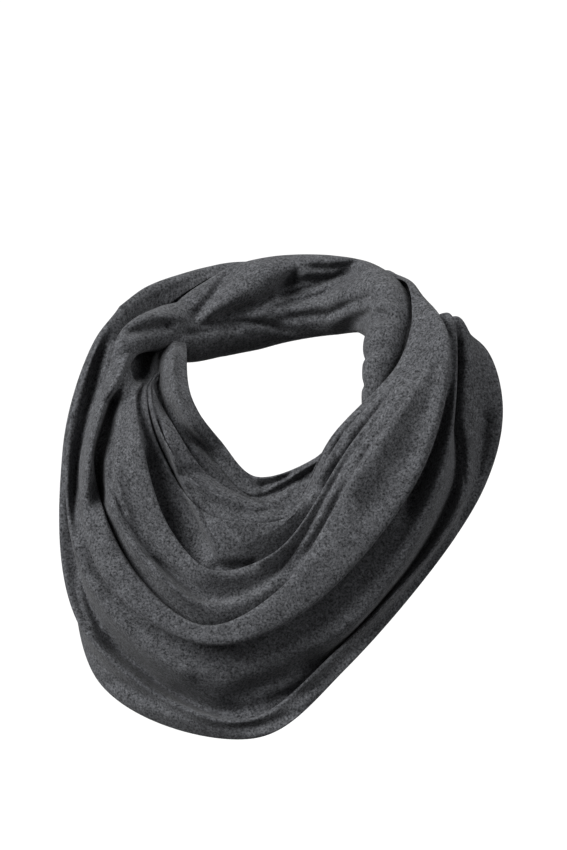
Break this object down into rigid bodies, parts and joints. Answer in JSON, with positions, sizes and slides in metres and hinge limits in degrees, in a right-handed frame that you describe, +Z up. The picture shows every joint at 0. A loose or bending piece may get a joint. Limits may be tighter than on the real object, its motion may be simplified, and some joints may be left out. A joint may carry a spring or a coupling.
{
  "type": "loop scarf",
  "caption": "Loop scarf of grey marl jersey in its worn pose: hollow, wound round the neck in overlapping turns, with a gathered roll at the nape and deep draped folds in front.",
  "frame": {"origin": "on the neck's axis inside the neck opening, at the height of the opening's middle as seen from the front", "axes": "+Z up along the neck, the front towards -Y, +X to the right of the picture"},
  "size_m": [0.3946, 0.2946, 0.399],
  "materials": {
    "grey_marl_jersey": "matt knitted jersey, light and dark grey fibres mixed"
  },
  "bodies": {
    "root": {"upper_turn_front": "grey_marl_jersey", "lower_turn_front": "grey_marl_jersey", "lower_turn_neck_side": "grey_marl_jersey", "nape_outer_turn": "grey_marl_jersey", "nape_roll": "grey_marl_jersey"}
  },
  "joints": []
}
